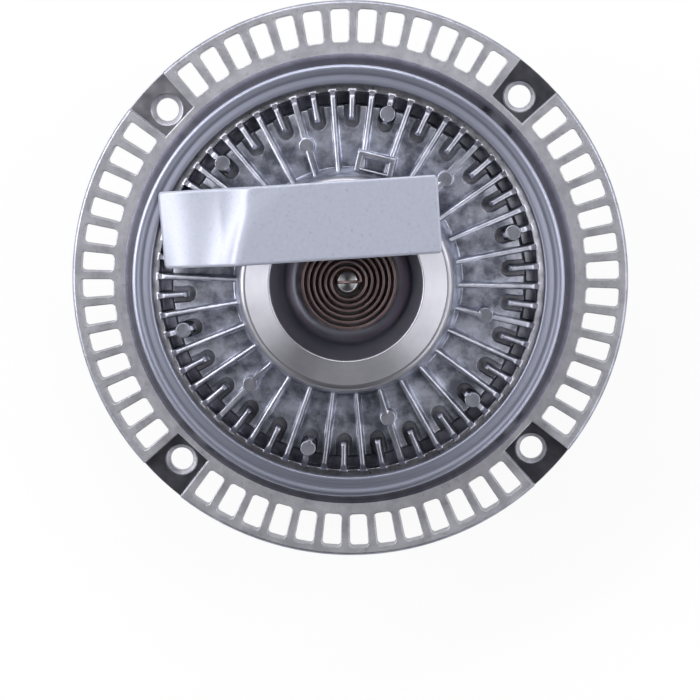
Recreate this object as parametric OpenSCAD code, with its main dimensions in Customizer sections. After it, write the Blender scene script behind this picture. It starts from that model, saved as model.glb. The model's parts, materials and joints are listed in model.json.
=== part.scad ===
// Viscous fan clutch with a spiral bimetal control, front side up.
// The origin is on the axis, in the rear face of the drive flange.

/* [Drive flange] */
// Diameter of the drive flange
flange_d = 74; // [72:1:84]
// Thickness of the drive flange
flange_t = 7; // [5:0.5:10]
// Bolt circle diameter of the drive flange
flange_pcd = 56; // [52:0.5:58]
// Diameter of a drive bolt hole
flange_hole_d = 8.5; // [6.5:0.1:9]
// Number of drive bolts
flange_bolts = 4; // [3:1:6]
// Diameter of the pilot bore
pilot_d = 22; // [16:0.5:24]
// Depth of the pilot bore
pilot_depth = 10; // [6:0.5:14]
// Length of the neck from the flange to the bearing
neck_len = 11; // [9:0.5:16]

/* [Bearing] */
// Bore of the ball bearing
bearing_bore_d = 25; // [23:1:26]
// Outer diameter of the ball bearing
bearing_d = 52; // [50:1:56]
// Width of the ball bearing
bearing_w = 15; // [14:0.5:18]
// Diameter of a ball
ball_d = 7.9; // [7:0.1:8.2]
// Number of balls
ball_count = 9; // [7:1:10]
// Thickness of the circlip in front of the bearing
bearing_clip_t = 1.8; // [1.2:0.1:2.4]

/* [Rotor] */
// Diameter of the rotor disc
rotor_d = 128; // [122:1:140]
// Thickness of the rotor's web
rotor_web_t = 3.5; // [3:0.5:6]
// Number of ridges on the rotor
ridge_count = 5; // [3:1:5]
// Height of a ridge
ridge_h = 5; // [3:0.5:6]
// Thickness of a ridge
ridge_t = 1.8; // [1.4:0.1:2.2]
// Radial gap between a ridge and its neighbour
ridge_gap = 0.6; // [0.4:0.1:1]
// Running gap around the rotor
rotor_gap = 1; // [0.6:0.1:1.5]
// Diameter of a fluid hole in the rotor
rotor_hole_d = 6; // [4:0.5:8]
// Number of fluid holes in the rotor
rotor_holes = 6; // [4:1:8]
// Thickness of the circlip on the shaft's end
rotor_clip_t = 1.2; // [0.8:0.1:1.6]

/* [Rear body] */
// Wall of the boss around the bearing
boss_wall = 6; // [4:0.5:8]
// Thickness of the lip behind the bearing
boss_lip_t = 1.5; // [1:0.1:3]
// Thickness of the working chamber's floor
floor_t = 4; // [3:0.5:6]
// Wall around the working chamber
chamber_wall = 5; // [4:0.5:7]
// Height of the rear fins
rear_fin_h = 9; // [5:0.5:10]
// Thickness of a rear fin at its edge
rear_fin_t = 1.8; // [1.4:0.1:2.6]
// Number of rear fins
rear_fins = 30; // [16:1:36]

/* [Fan ring] */
// Width of the plain band inside the windows
band_w = 4.6; // [3:0.1:8]
// Radial length of a window
window_len = 11.9; // [9:0.1:14]
// Angle that a window spans
window_deg = 4.1; // [3:0.1:4.6]
// Corner radius of a window
window_corner = 1.3; // [0.6:0.1:1.8]
// Number of places for a window around the ring
window_places = 60; // [48:1:60]
// Width of the ring's outer rim
outer_rim_w = 3; // [2:0.1:5]
// Thickness of the fan ring
ring_t = 7; // [5:0.5:9]
// Distance from the rolled rim's top down to the ring's face
ring_drop = 11; // [9:0.5:12]
// Number of fan bolts
fan_bolts = 4; // [3:1:6]
// Distance of the fan bolts from the ring's outer edge
fan_bolt_inset = 10.5; // [8:0.1:12]
// Diameter of a fan bolt hole
fan_hole_d = 8.2; // [6.5:0.1:9]
// Depth of a fan bolt pad below the ring's face
pad_depth = 2.5; // [1:0.1:4]
// Angle that a fan bolt pad spans
pad_deg = 10.2; // [9.5:0.1:10.8]

/* [Rolled rim] */
// Width of the shelf that carries the cover's edge
seat_w = 6.2; // [5:0.1:8]
// Thickness of the lip that is rolled over the cover
lip_t = 1.6; // [1:0.1:2.5]
// Width of the rolled lip's flat inner part
lip_w = 4; // [2.5:0.1:5]
// Thickness of the rim's wall at its top
rim_t = 3; // [2.5:0.1:5]
// How far the rim's wall slopes outwards to its foot
rim_slope = 3.3; // [1.5:0.1:5]

/* [Cover plate] */
// Thickness of the cover's edge
cover_edge_t = 3.4; // [2.5:0.1:5]
// How far the cover's edge rises from the lip to the fins
edge_rise = 0.7; // [0.2:0.1:1.2]
// Width of the cover's skirt on the divider plate
skirt_w = 10.4; // [9:0.1:14]
// Depth of the skirt below the cover's edge
skirt_h = 4.2; // [3.6:0.1:6]
// Thickness of the lower floor between the fin ends
low_floor_t = 3.2; // [2.4:0.1:3.4]
// Width of the lower floor
low_floor_w = 5; // [4:0.1:6]
// Height of the reservoir above the divider plate
reservoir_h = 3.9; // [3:0.1:4.5]
// Thickness of the reservoir's roof
roof_t = 3.8; // [3.4:0.1:4.6]
// Depth of the pocket around a short fin
pocket_depth = 2.4; // [1.4:0.1:2.6]
// Width of the pocket around a short fin
pocket_w = 5.6; // [4:0.1:6.4]

/* [Hub] */
// Outer diameter of the hub at its face
hub_d = 74.8; // [72:0.2:80]
// Height of the hub's face above the rolled rim
hub_rise = 16; // [13:0.5:22]
// Edge radius of the hub
hub_round = 2.4; // [1:0.1:3]
// How far the hub widens towards its foot
hub_flare = 3.2; // [2:0.1:5]
// Diameter of the well's mouth
well_d = 53.6; // [50:0.2:56]
// Diameter of the well's floor
well_floor_d = 44.6; // [43:0.2:46]
// Thickness of the well's floor
well_floor_t = 2.8; // [2.2:0.1:4]
// Wall of the hub around the hollow inside it
hub_wall = 3.4; // [2.6:0.1:3.8]

/* [Cover fins] */
// Number of long fins, with as many short ones between them
fin_pairs = 30; // [20:1:30]
// Angle of the first long fin
fin_phase = -3.5; // [-6:0.1:6]
// Height of the fins above the rolled rim, at the hub
fin_rise = 7; // [4:0.5:10]
// Height of the fins above the rolled rim, at their outer end
fin_end_rise = 1.2; // [0.5:0.1:3]
// Thickness of a fin along its edge
fin_t = 1.6; // [1.2:0.1:2]
// How much thicker a fin is at its foot
fin_draft = 1; // [0.4:0.1:1.4]
// Length of a short fin
short_fin_len = 8.4; // [5:0.1:14]
// Diameter of an ejector pad
ejector_d = 5.5; // [4:0.1:6]
// Radius of the inner row of ejector pads
ejector_in_r = 50.2; // [46:0.1:53]
// Tangential width of the cast lug beside the hub
lug_w = 14; // [12:0.5:16]
// How far the cast lug reaches out from the hub
lug_len = 6; // [5:0.5:8]

/* [Bimetal] */
// Thickness of the bimetal strip
coil_t = 0.9; // [0.6:0.1:1.1]
// Width of the bimetal strip
coil_w = 5.5; // [4:0.5:8]
// Radial pitch of the coil
coil_pitch = 2.05; // [1.8:0.05:2.2]
// Full turns of the coil
coil_turns = 6; // [4:1:6]
// Angle of the coil's outer end past the last full turn
coil_end_deg = 100; // [60:5:150]
// Gap between the well's floor and the coil
coil_lift = 1.4; // [0.8:0.1:3]

/* [Valve] */
// Diameter of the spindle in its bush
spindle_d = 5.9; // [5:0.1:7]
// Diameter of the spindle's slotted head
spindle_head_d = 7; // [6.5:0.1:7.6]
// Thickness of the divider plate
divider_t = 1.5; // [1:0.1:2.5]
// Radius at which the valve port lies
port_r = 30; // [24:0.5:36]
// Diameter of the valve port
port_d = 5; // [3:0.5:6]
// Angle of the valve port
port_deg = 250; // [200:5:300]
// Thickness of the valve lever
lever_t = 0.9; // [0.6:0.1:1.2]
// Room for the lever between the divider plate and the well
lever_room = 2.4; // [2.2:0.1:3.5]
// Diameter of the filler plug
filler_d = 5; // [3:0.5:6]

/* [Label] */
// Width of the label
label_w = 27.4; // [20:0.2:30]
// Reach of the label to the right of the axis
label_right = 34.3; // [30:0.1:40]
// Reach of the label to the left of the axis
label_left = 65; // [50:0.5:66]
// Distance of the label's lower edge from the axis
label_low = 8.8; // [6:0.1:12]
// Angle that the label is turned by
label_turn = 1.7; // [-3:0.1:4]
// Thickness of the label's film
label_t = 0.2; // [0.1:0.05:0.4]

/* [Clearances] */
// Radial gap between the cover and the body's seats
cover_gap = 0.2; // [0.1:0.05:0.4]
// Gap between the rotor and the wiper in front of it
wiper_gap = 0.3; // [0.2:0.05:0.6]
// Gap between a ball and its raceways or its pocket
ball_gap = 0.15; // [0.08:0.01:0.25]
// Gap between a bearing seal and the inner ring
seal_gap = 0.25; // [0.2:0.05:0.4]
// Radial gap between the spindle and its bush
spindle_gap = 0.05; // [0.03:0.01:0.08]
// Gap on each side of the bimetal strip in its slots
strip_gap = 0.1; // [0.05:0.05:0.3]
// Gap between the valve pad and the divider plate
pad_gap = 0.1; // [0.05:0.05:0.2]
// Gap between the label and the hub's face
label_gap = 0.05; // [0.02:0.01:0.1]

/* [Hidden] */
$fn = 96;

// Small edges and overlaps that keep cuts and joins clean
edge = 0.8;
fine_edge = 0.4;
sink = 1;
over = 2;

// Angle of the first drive bolt
flange_first_deg = 45;

// Bearing radii and heights
bore_r = bearing_bore_d / 2;
bearing_r = bearing_d / 2;
pitch_r = (bore_r + bearing_r) / 2;
ball_r = ball_d / 2;
shoulder_share = 0.36;
inner_shoulder_r = pitch_r - shoulder_share * ball_d;
outer_shoulder_r = pitch_r + shoulder_share * ball_d;
z_bearing = flange_t + neck_len;
z_bearing_top = z_bearing + bearing_w;
z_balls = z_bearing + bearing_w / 2;
bearing_seal_t = 0.8;
bearing_seal_inset = 0.5;
cage_t = 1.8;
cage_web = 0.8;

// Circlip in front of the bearing
clip_depth = 1.4;
clip_gap = 0.2;
clip_ring_w = 3.4;
clip_ear_d = 6;
clip_ear_hole_d = 2.2;
clip_open_deg = 24;

// Rotor heights, with its ridges between the lands of the body
boss_r = bearing_r + boss_wall;
boss_lip_w = 3;
z_boss = z_bearing - boss_lip_t;
z_boss_top = z_bearing_top + bearing_clip_t + boss_lip_t;
z_web = z_boss_top + rotor_gap;
z_web_top = z_web + rotor_web_t;
z_floor = z_web - rotor_gap - ridge_h;
z_floor_back = z_floor - floor_t;
rotor_r = rotor_d / 2;
ridge_step = 2 * (ridge_t + ridge_gap);
rotor_seat_step = 2.5;
rotor_seat_r = bore_r - rotor_seat_step;
rotor_hub_r = inner_shoulder_r - fine_edge;
rotor_clip_recess = rotor_clip_t + fine_edge;
z_rotor_seat = z_web_top - rotor_clip_recess;
rotor_clip_depth = 0.8;
rotor_clip_w = 2.6;
rotor_hole_r = (rotor_hub_r + boss_r) / 2;

// Divider plate, wiper and valve heights
divider_room = 1.2;
z_divider = z_web_top + wiper_gap + divider_room;
z_divider_top = z_divider + divider_t;
wiper_t = divider_room;
z_well_back = z_divider_top + lever_room;
z_well = z_well_back + well_floor_t;

// Radii from the working chamber out to the rolled rim
chamber_r = rotor_r + rotor_gap;
divider_lap = 2.8;
inner_seat_r = chamber_r + divider_lap + cover_gap;
divider_r = inner_seat_r - cover_gap;
outer_seat_r = inner_seat_r + seat_w;
cover_r = outer_seat_r - cover_gap;
lip_in_r = outer_seat_r - lip_w - cover_gap;
rim_r = outer_seat_r + rim_t;
rim_foot_r = rim_r + rim_slope;
bead_r = 1.75;
bead_sink = 1.3;
valley_depth = 0.45;

// Heights of the cover's edge, the rolled rim and the fan ring
z_seat = z_divider_top + skirt_h;
z_cover_edge = z_seat + cover_edge_t;
z_lip = z_cover_edge + lip_t;
z_ring_top = z_lip - ring_drop;
z_ring = z_ring_top - ring_t;
seal_d = 1.5;
seal_room = 0.04;
seal_groove_w = 2;
seal_r = (inner_seat_r + outer_seat_r) / 2;

// Fan ring radii
window_in_r = rim_foot_r + band_w;
window_out_r = window_in_r + window_len;
ring_r = window_out_r + outer_rim_w;
fan_bolt_r = ring_r - fan_bolt_inset;
fan_first_deg = 45;
pad_margin = 2.1;
pad_in_r = fan_bolt_r - fan_hole_d / 2 - pad_margin;
fan_chamfer = 1.6;
z_pad = z_ring_top - pad_depth;

// Cover radii and heights
skirt_in_r = divider_r - skirt_w;
ledge_in_r = divider_r - fine_edge;
step_r = ledge_in_r - low_floor_w;
step_slope = 0.8;
z_low_floor = z_divider_top + low_floor_t;
z_roof_back = z_divider_top + reservoir_h;
z_roof = z_roof_back + roof_t;
hub_r = hub_d / 2;
hub_foot_r = hub_r + hub_flare;
z_hub = z_lip + hub_rise;
well_r = well_d / 2;
well_floor_r = well_floor_d / 2;
well_fillet = 5;
z_hollow_top = z_hub - 2 * hub_wall;

// Cover fins
fin_step_deg = 360 / fin_pairs;
z_fin = z_lip + fin_rise;
z_fin_end = z_lip + fin_end_rise;
fin_in_r = hub_foot_r - hub_wall / 2;
fin_end_run = 3.4;
fin_out_r = ledge_in_r - fin_end_run / 2;
fin_end_r = fin_out_r + fin_end_run;
fin_foot_sink = 1.3;
z_fin_foot = z_roof - fin_foot_sink;
z_fin_low_foot = z_low_floor - fin_foot_sink;
z_fin_end_foot = z_cover_edge - cover_edge_t / 2;
fin_step_r = step_r - sink;
short_fin_in_r = fin_out_r - short_fin_len;
short_fin_nose = 1;
pocket_run = 2.9;
pocket_in_r = short_fin_in_r - pocket_run;
pocket_sink = 0.6;
z_pocket = z_roof - pocket_depth;
z_short_foot = z_pocket - pocket_sink;
ejector_rows = 6;
ejector_rise = 0.3;
ejector_out_r = short_fin_in_r + ejector_d / 2 + sink;
ejector_out_fin = 1;
ejector_in_fin = 4;
lug_fin = 6;
lug_rise = 0.6;
lug_wall = 2.4;
lug_pocket_depth = 6;

// Bimetal coil and spindle
bush_wall = 1.5;
bush_stand = 0.3;
spindle_r = spindle_d / 2;
bush_bore_r = spindle_r + spindle_gap;
bush_r = bush_bore_r + bush_wall;
spindle_head_r = spindle_head_d / 2;
coil_in_gap = 0.75;
coil_in_r = spindle_head_r + coil_t / 2 + coil_in_gap;
coil_end = 360 * coil_turns + coil_end_deg;
coil_out_r = coil_in_r + coil_pitch * coil_end / 360;
coil_step_deg = 10;
coil_tail = 3;
z_coil = z_well + coil_lift;
z_coil_top = z_coil + coil_w;
spindle_stand = 1;
slot_w = coil_t + 2 * strip_gap;
post_w = 4.8;
post_gap = 0.5;
post_drop = 0.8;

// Valve lever and its rivet head on the spindle
lever_pad_t = 0.8;
z_lever = z_divider_top + pad_gap + lever_pad_t;
z_lever_top = z_lever + lever_t;
rivet_gap = 0.2;
spindle_tail_step = 1;
spindle_tail_r = spindle_r - spindle_tail_step;
spindle_rivet_step = 0.2;
spindle_rivet_r = spindle_r - spindle_rivet_step;
lever_hub_w = 2.5;
lever_hub_r = spindle_r + lever_hub_w;
lever_arm_w = 7;
lever_lap = 2.2;
lever_tip_r = port_d / 2 + lever_lap;
ring_section = 0.9;
ring_groove_w = 1.2;
ring_play = 0.02;
ring_groove_depth = ring_section - spindle_gap + ring_play;
z_ring_groove = (z_well_back + z_well) / 2 - ring_groove_w / 2;

// Wiper, its rivets, the return hole and the filler plug
wiper_deg = 14;
wiper_lap = 5.5;
wiper_in_r = skirt_in_r - wiper_lap;
wiper_out_gap = 1.2;
wiper_out_r = chamber_r - wiper_out_gap;
rivet_inset = 3;
rivet_r = skirt_in_r - rivet_inset;
rivet_d = 2.4;
rivet_head_d = 4;
rivet_head_t = 0.7;
rivet_deg = 3.4;
return_d = 3.5;
return_deg = 11;
filler_fin = 12;
filler_r = (hub_foot_r + short_fin_in_r) / 2;
filler_head_lap = 1;
filler_head_d = filler_d + 2 * filler_head_lap;
filler_head_t = 1.2;

// Label, which lies on the hub and slopes down to the fin ends
label_fold_gap = 2.8;
label_fold = hub_r - label_fold_gap;
label_bend_r = 6;
label_bend_steps = 6;
label_end_gap = 0.4;
z_label = z_hub + label_gap;
z_label_end = z_fin_end + label_end_gap;
label_slope = atan2(z_label - z_label_end, label_left - label_fold);

// Straight steps in a round corner of an outline
corner_steps = 4;
hub_round_steps = 6;
well_fillet_steps = 10;

function unit(v) = v / norm(v);

// Points of a round corner at p, between the neighbours a and b
function corner(a, p, b, r, steps = corner_steps) =
    let (u = unit(a - p), v = unit(b - p), half = acos(u * v) / 2)
    let (c = p + unit(u + v) * r / sin(half))
    let (s = p + u * r / tan(half) - c, e = p + v * r / tan(half) - c)
    [for (i = [0:steps]) c + r * unit(s * (1 - i / steps) + e * i / steps)];

function rounded(points, r) =
    let (n = len(points))
    [for (i = [0:n - 1]) each corner(points[(i + n - 1) % n], points[i], points[(i + 1) % n], r)];

function polar(r, a) = [r * cos(a), r * sin(a)];

// Four corners of a piece of the ring between two radii
function sector(r_in, r_out, deg) =
    [polar(r_in, -deg / 2), polar(r_out, -deg / 2), polar(r_out, deg / 2), polar(r_in, deg / 2)];

function fin_angle(index) = fin_phase + index * fin_step_deg / 2;

function fin_top(r) = z_fin + (z_fin_end - z_fin) * (r - fin_in_r) / (fin_out_r - fin_in_r);

function fan_angle(index) = fan_first_deg + index * 360 / fan_bolts;

// Angle from a place on the ring to the nearest fan bolt
function bolt_distance(a) =
    min([for (i = [0:fan_bolts - 1]) acos(polar(1, a) * polar(1, fan_angle(i)))]);

module on_circle(count, r, first = 0) {
    for (i = [0:count - 1]) {
        rotate(first + i * 360 / count) translate([r, 0, 0]) children();
    }
}

module ring(r_in, r_out, z_low, z_high) {
    translate([0, 0, z_low]) linear_extrude(z_high - z_low) difference() {
        circle(r_out);
        circle(r_in);
    }
}

// Drafted plate that stands on the axis' plane, with its side outline in r and z
module blade(outline, z_edge, edge_t, z_foot, foot_t) {
    intersection() {
        rotate([90, 0, 0]) linear_extrude(2 * foot_t, center = true) polygon(outline);
        rotate([90, 0, 90]) linear_extrude(ring_r) polygon([[-foot_t / 2, z_foot],
            [foot_t / 2, z_foot], [edge_t / 2, z_edge], [-edge_t / 2, z_edge]]);
    }
}

module input_shaft() {
    z_end = z_web_top;
    z_clip_end = z_rotor_seat + rotor_clip_t;
    groove_r = rotor_seat_r - rotor_clip_depth;
    neck_r = inner_shoulder_r - fine_edge;
    color("dimgray") difference() {
        rotate_extrude() polygon([[0, pilot_depth], [pilot_d / 2, pilot_depth],
            [pilot_d / 2, edge], [pilot_d / 2 + edge, 0], [flange_d / 2 - edge, 0],
            [flange_d / 2, edge], [flange_d / 2, flange_t - edge],
            [flange_d / 2 - edge, flange_t], [neck_r + edge, flange_t],
            [neck_r, flange_t + edge], [neck_r, z_bearing], [bore_r, z_bearing],
            [bore_r, z_bearing_top], [rotor_seat_r, z_bearing_top],
            [rotor_seat_r, z_rotor_seat], [groove_r, z_rotor_seat], [groove_r, z_clip_end],
            [rotor_seat_r, z_clip_end], [rotor_seat_r, z_end - fine_edge / 2],
            [rotor_seat_r - fine_edge / 2, z_end], [0, z_end]]);
        on_circle(flange_bolts, flange_pcd / 2, flange_first_deg) {
            translate([0, 0, -over]) cylinder(d = flange_hole_d, h = flange_t + 2 * over);
        }
    }
}

module bearing_race(r_in, r_out) {
    difference() {
        ring(r_in, r_out, z_bearing, z_bearing_top);
        rotate_extrude() translate([pitch_r, z_balls]) circle(ball_r + ball_gap);
    }
}

module bearing_inner_ring() {
    color("silver") bearing_race(bore_r, inner_shoulder_r);
}

module bearing_outer_ring() {
    color("silver") bearing_race(outer_shoulder_r, bearing_r);
}

module bearing_balls() {
    color("gainsboro") on_circle(ball_count, pitch_r) translate([0, 0, z_balls]) sphere(ball_r);
}

module bearing_cage() {
    half_h = ball_r + cage_web;
    color("darkgray") difference() {
        ring(pitch_r - cage_t / 2, pitch_r + cage_t / 2, z_balls - half_h, z_balls + half_h);
        on_circle(ball_count, pitch_r) translate([0, 0, z_balls]) sphere(ball_r + ball_gap);
    }
}

module bearing_seal(z_low) {
    color("saddlebrown") {
        ring(inner_shoulder_r + seal_gap, outer_shoulder_r, z_low, z_low + bearing_seal_t);
    }
}

module bearing_seal_rear() {
    bearing_seal(z_bearing + bearing_seal_inset);
}

module bearing_seal_front() {
    bearing_seal(z_bearing_top - bearing_seal_inset - bearing_seal_t);
}

// Wedge between the ends of a circlip
module clip_opening(r) {
    polygon([[0, 0], polar(2 * r, -clip_open_deg / 2), polar(2 * r, clip_open_deg / 2)]);
}

module bearing_circlip() {
    out_r = bearing_r + clip_depth - clip_gap;
    in_r = out_r - clip_ring_w;
    ear_r = out_r - clip_ear_d / 2 - clip_depth;
    color("dimgray") translate([0, 0, z_bearing_top]) linear_extrude(bearing_clip_t) difference() {
        union() {
            difference() {
                circle(out_r);
                circle(in_r);
                clip_opening(out_r);
            }
            for (side = [-1, 1]) {
                rotate(side * clip_open_deg / 2) translate([ear_r, 0]) circle(d = clip_ear_d);
            }
        }
        for (side = [-1, 1]) {
            rotate(side * clip_open_deg / 2) translate([ear_r, 0]) circle(d = clip_ear_hole_d);
        }
    }
}

module rotor_disc() {
    color("lightslategray") difference() {
        rotate_extrude() {
            translate([rotor_seat_r, z_bearing_top]) {
                square([rotor_hub_r - rotor_seat_r, z_rotor_seat - z_bearing_top]);
            }
            translate([rotor_seat_r + rotor_clip_w, z_web]) {
                square([rotor_r - rotor_seat_r - rotor_clip_w, rotor_web_t]);
            }
            for (i = [0:ridge_count - 1]) {
                translate([rotor_r - i * ridge_step - ridge_t, z_web - ridge_h]) {
                    square([ridge_t, ridge_h + rotor_web_t / 2]);
                }
            }
        }
        on_circle(rotor_holes, rotor_hole_r) {
            translate([0, 0, z_web - over]) cylinder(d = rotor_hole_d, h = rotor_web_t + 2 * over);
        }
    }
}

module rotor_circlip() {
    in_r = rotor_seat_r - rotor_clip_depth;
    out_r = rotor_seat_r + rotor_clip_w - fine_edge;
    color("black") translate([0, 0, z_rotor_seat]) linear_extrude(rotor_clip_t) difference() {
        circle(out_r);
        circle(in_r);
        clip_opening(out_r);
    }
}

// Section of the rear body in r and z, without its lands and its bead
function body_outline() = let (lip_r = bearing_r - boss_lip_w, wall_r = chamber_r + chamber_wall)
    let (z_clip = z_bearing_top + bearing_clip_t, clip_r = bearing_r + clip_depth)
    let (seal_in = seal_r - seal_groove_w / 2, seal_out = seal_r + seal_groove_w / 2)
    let (z_groove = z_seat - seal_d - seal_room)
    [[lip_r, z_boss], [boss_r - edge, z_boss], [boss_r, z_boss + edge], [boss_r, z_floor_back],
    [wall_r - over, z_floor_back], [wall_r, z_floor_back + over], [wall_r + over, z_ring],
    [ring_r - edge, z_ring], [ring_r, z_ring + edge], [ring_r, z_ring_top - edge],
    [ring_r - edge, z_ring_top], [rim_foot_r, z_ring_top], [rim_r, z_lip - bead_r],
    [rim_r - 2 * bead_r, z_lip - valley_depth], [rim_r - 2 * bead_r - fine_edge, z_lip],
    [lip_in_r + fine_edge, z_lip], [lip_in_r, z_lip - fine_edge], [lip_in_r, z_cover_edge],
    [outer_seat_r, z_cover_edge], [outer_seat_r, z_seat], [seal_out, z_seat],
    [seal_out, z_groove], [seal_in, z_groove], [seal_in, z_seat], [inner_seat_r, z_seat],
    [inner_seat_r, z_divider], [chamber_r, z_divider], [chamber_r, z_floor],
    [boss_r, z_floor], [boss_r, z_boss_top], [bearing_r, z_boss_top], [bearing_r, z_clip],
    [clip_r, z_clip], [clip_r, z_bearing_top], [bearing_r, z_bearing_top],
    [bearing_r, z_bearing], [lip_r, z_bearing]];

module body_section() {
    polygon(body_outline());
    difference() {
        translate([rim_r - bead_r, z_lip - bead_sink]) circle(bead_r);
        translate([inner_seat_r, z_seat]) square([seat_w, cover_edge_t]);
    }
    for (i = [0:ridge_count - 2]) {
        translate([rotor_r - (i + 1) * ridge_step + ridge_gap, z_floor - sink]) {
            square([ridge_t, ridge_h + sink]);
        }
    }
}

module rear_fin() {
    in_r = boss_r - sink;
    out_r = chamber_r + chamber_wall - over;
    z_edge = z_floor_back - rear_fin_h;
    z_foot = z_floor_back + sink;
    blade([[in_r, z_foot], [in_r, z_edge], [out_r - rear_fin_h / 2, z_edge + sink],
        [out_r, z_floor_back - sink], [out_r, z_foot]],
        z_edge, rear_fin_t, z_foot, rear_fin_t + fin_draft);
}

module ring_windows() {
    shape = rounded(sector(window_in_r, window_out_r, window_deg), window_corner);
    for (i = [0:window_places - 1]) {
        if (bolt_distance(i * 360 / window_places) > (window_deg + pad_deg) / 2) {
            rotate(i * 360 / window_places) translate([0, 0, z_ring - over]) {
                linear_extrude(ring_t + 2 * over) polygon(shape);
            }
        }
    }
}

module fan_pads() {
    for (i = [0:fan_bolts - 1]) rotate(fan_angle(i)) {
        translate([0, 0, z_pad]) linear_extrude(pad_depth + over) {
            polygon(sector(pad_in_r, ring_r + over, pad_deg));
        }
        translate([fan_bolt_r, 0, z_ring - over]) cylinder(d = fan_hole_d, h = ring_t + 2 * over);
        translate([fan_bolt_r, 0, z_pad - fan_chamfer]) {
            cylinder(d1 = fan_hole_d, d2 = fan_hole_d + 4 * fan_chamfer, h = 2 * fan_chamfer);
        }
    }
}

module rear_body() {
    color("lightsteelblue") difference() {
        union() {
            rotate_extrude() body_section();
            for (i = [0:rear_fins - 1]) rotate(i * 360 / rear_fins) rear_fin();
        }
        ring_windows();
        fan_pads();
    }
}

// Section of the front cover in r and z
function cover_outline() = let (slope = (well_r - well_floor_r) / (z_hub - z_well))
    let (hollow_h = z_hollow_top - z_roof_back)
    let (hollow_in_r = well_floor_r + hub_wall, hollow_out_r = hub_foot_r - hub_wall)
    concat([[bush_r, z_well_back], [hollow_in_r, z_well_back],
    [hollow_in_r + slope * hollow_h, z_hollow_top],
    [hub_r - hub_wall, z_hollow_top], [hollow_out_r, z_roof_back], [skirt_in_r, z_roof_back],
    [skirt_in_r + fine_edge, z_divider_top], [divider_r, z_divider_top], [divider_r, z_seat],
    [cover_r, z_seat], [cover_r, z_cover_edge], [lip_in_r, z_cover_edge],
    [ledge_in_r, z_cover_edge + edge_rise], [ledge_in_r - fine_edge, z_low_floor],
    [step_r + step_slope, z_low_floor], [step_r, z_roof], [hub_foot_r, z_roof]],
    corner([hub_foot_r, z_roof], [hub_r, z_hub], [0, z_hub], hub_round, hub_round_steps),
    [[well_r + fine_edge, z_hub], [well_r, z_hub - fine_edge]],
    corner([well_r, z_hub], [well_floor_r, z_well], [0, z_well], well_fillet, well_fillet_steps),
    [[bush_r, z_well]]);

// Outer end of a fin in r and z, down the slope into the cover's edge and back along its foot
function fin_end_outline() = [[fin_out_r, z_fin_end], [fin_end_r, z_cover_edge - fine_edge],
    [fin_end_r, z_fin_end_foot], [ledge_in_r, z_fin_end_foot], [ledge_in_r, z_fin_low_foot],
    [fin_step_r, z_fin_low_foot]];

module long_fin() {
    blade(concat([[fin_in_r, z_fin_foot], [fin_in_r, z_fin]], fin_end_outline(),
        [[fin_step_r, z_fin_foot]]), z_fin, fin_t, z_fin_low_foot, fin_t + fin_draft);
}

module short_fin() {
    z_nose = fin_top(short_fin_in_r + short_fin_nose);
    blade(concat([[short_fin_in_r, z_short_foot], [short_fin_in_r, z_nose - short_fin_nose],
        [short_fin_in_r + short_fin_nose, z_nose]], fin_end_outline(),
        [[fin_step_r, z_short_foot]]), z_fin, fin_t, z_fin_low_foot, fin_t + fin_draft);
}

// Round-ended pockets in the roof, in which the short fins stand
module fin_pockets() {
    for (i = [0:fin_pairs - 1]) rotate(fin_angle(2 * i + 1)) {
        translate([pocket_in_r + pocket_w / 2, 0, z_pocket]) linear_extrude(pocket_depth + over) {
            circle(d = pocket_w);
            translate([0, -pocket_w / 2]) {
                square([step_r + step_slope - pocket_in_r - pocket_w / 2, pocket_w]);
            }
        }
    }
}

module ejector_pad(r, z_foot) {
    translate([r, 0, z_foot]) cylinder(d = ejector_d, h = fin_top(r) + ejector_rise - z_foot);
}

module cover_fins() {
    for (i = [0:fin_pairs - 1]) {
        rotate(fin_angle(2 * i)) long_fin();
        rotate(fin_angle(2 * i + 1)) short_fin();
    }
    for (i = [0:ejector_rows - 1]) {
        row_fin = 2 * round(i * fin_pairs / ejector_rows);
        rotate(fin_angle(2 * ejector_out_fin + 1 + row_fin)) {
            ejector_pad(ejector_out_r, z_fin_low_foot);
        }
        rotate(fin_angle(2 * ejector_in_fin + row_fin)) {
            ejector_pad(ejector_in_r, z_fin_foot);
        }
    }
}

module cast_lug() {
    z_top = fin_top(hub_foot_r) + lug_rise;
    in_r = fin_in_r;
    out_r = hub_foot_r + lug_len;
    pocket_in_r = hub_foot_r;
    rotate(fin_angle(2 * lug_fin + 1)) difference() {
        translate([in_r, -lug_w / 2, z_fin_foot]) cube([out_r - in_r, lug_w, z_top - z_fin_foot]);
        translate([pocket_in_r, -lug_w / 2 + lug_wall, z_top - lug_pocket_depth]) {
            cube([out_r - lug_wall - pocket_in_r, lug_w - 2 * lug_wall, lug_pocket_depth + over]);
        }
    }
}

// Slotted post in the well that holds the coil's outer end
module coil_post() {
    in_r = coil_out_r + coil_t / 2 + post_gap;
    out_r = well_floor_r + hub_wall / 2;
    z_top = z_coil_top - post_drop;
    rotate(coil_end) difference() {
        translate([in_r, -post_w / 2, z_well - sink]) {
            cube([out_r - in_r, post_w, z_top - z_well + sink]);
        }
        translate([in_r - over, -slot_w / 2, z_coil - strip_gap]) {
            cube([coil_tail + over, slot_w, coil_w]);
        }
    }
}

module front_cover() {
    color("lightsteelblue") difference() {
        union() {
            difference() {
                rotate_extrude() polygon(cover_outline());
                fin_pockets();
            }
            cover_fins();
            cast_lug();
            coil_post();
        }
        rotate(fin_angle(2 * filler_fin + 1)) translate([filler_r, 0, z_roof_back - over]) {
            cylinder(d = filler_d, h = roof_t + 2 * over);
        }
    }
}

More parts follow.
